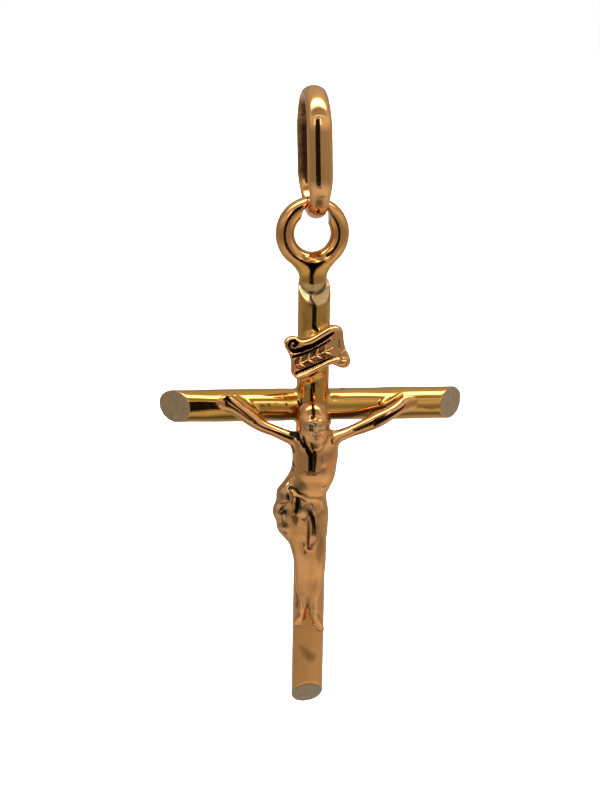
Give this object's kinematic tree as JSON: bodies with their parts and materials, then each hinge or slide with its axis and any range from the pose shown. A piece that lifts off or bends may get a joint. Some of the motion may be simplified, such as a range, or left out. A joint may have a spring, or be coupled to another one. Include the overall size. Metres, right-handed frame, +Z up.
{
  "type": "crucifix pendant",
  "caption": "Crucifix pendant: tube cross with slanted ends, a cast figure and a small rolled scroll on its front, and a worn top loop that swings on an oval bail.",
  "frame": {"origin": "middle of the bail's inner top, where the chain carries the pendant", "axes": "+Z up along the upright, +X to the right of someone who looks at the front, -Y out of the front"},
  "size_m": [0.0223, 0.007, 0.046],
  "materials": {
    "rose_gold": "polished rose gold, softly worn",
    "yellow_gold": "polished yellow gold with fine scratches and a few pits"
  },
  "bodies": {
    "bail": {"bail": "rose_gold"},
    "cross": {"cross": "yellow_gold", "corpus": "rose_gold", "scroll": "rose_gold"}
  },
  "joints": [
    {"name": "cross_swing", "type": "hinge", "parent": "bail", "child": "cross", "pos_m": [0.00027, 0.00015, -0.00698], "axis": [1, 0, 0], "range_deg": [-90, 90]}
  ]
}
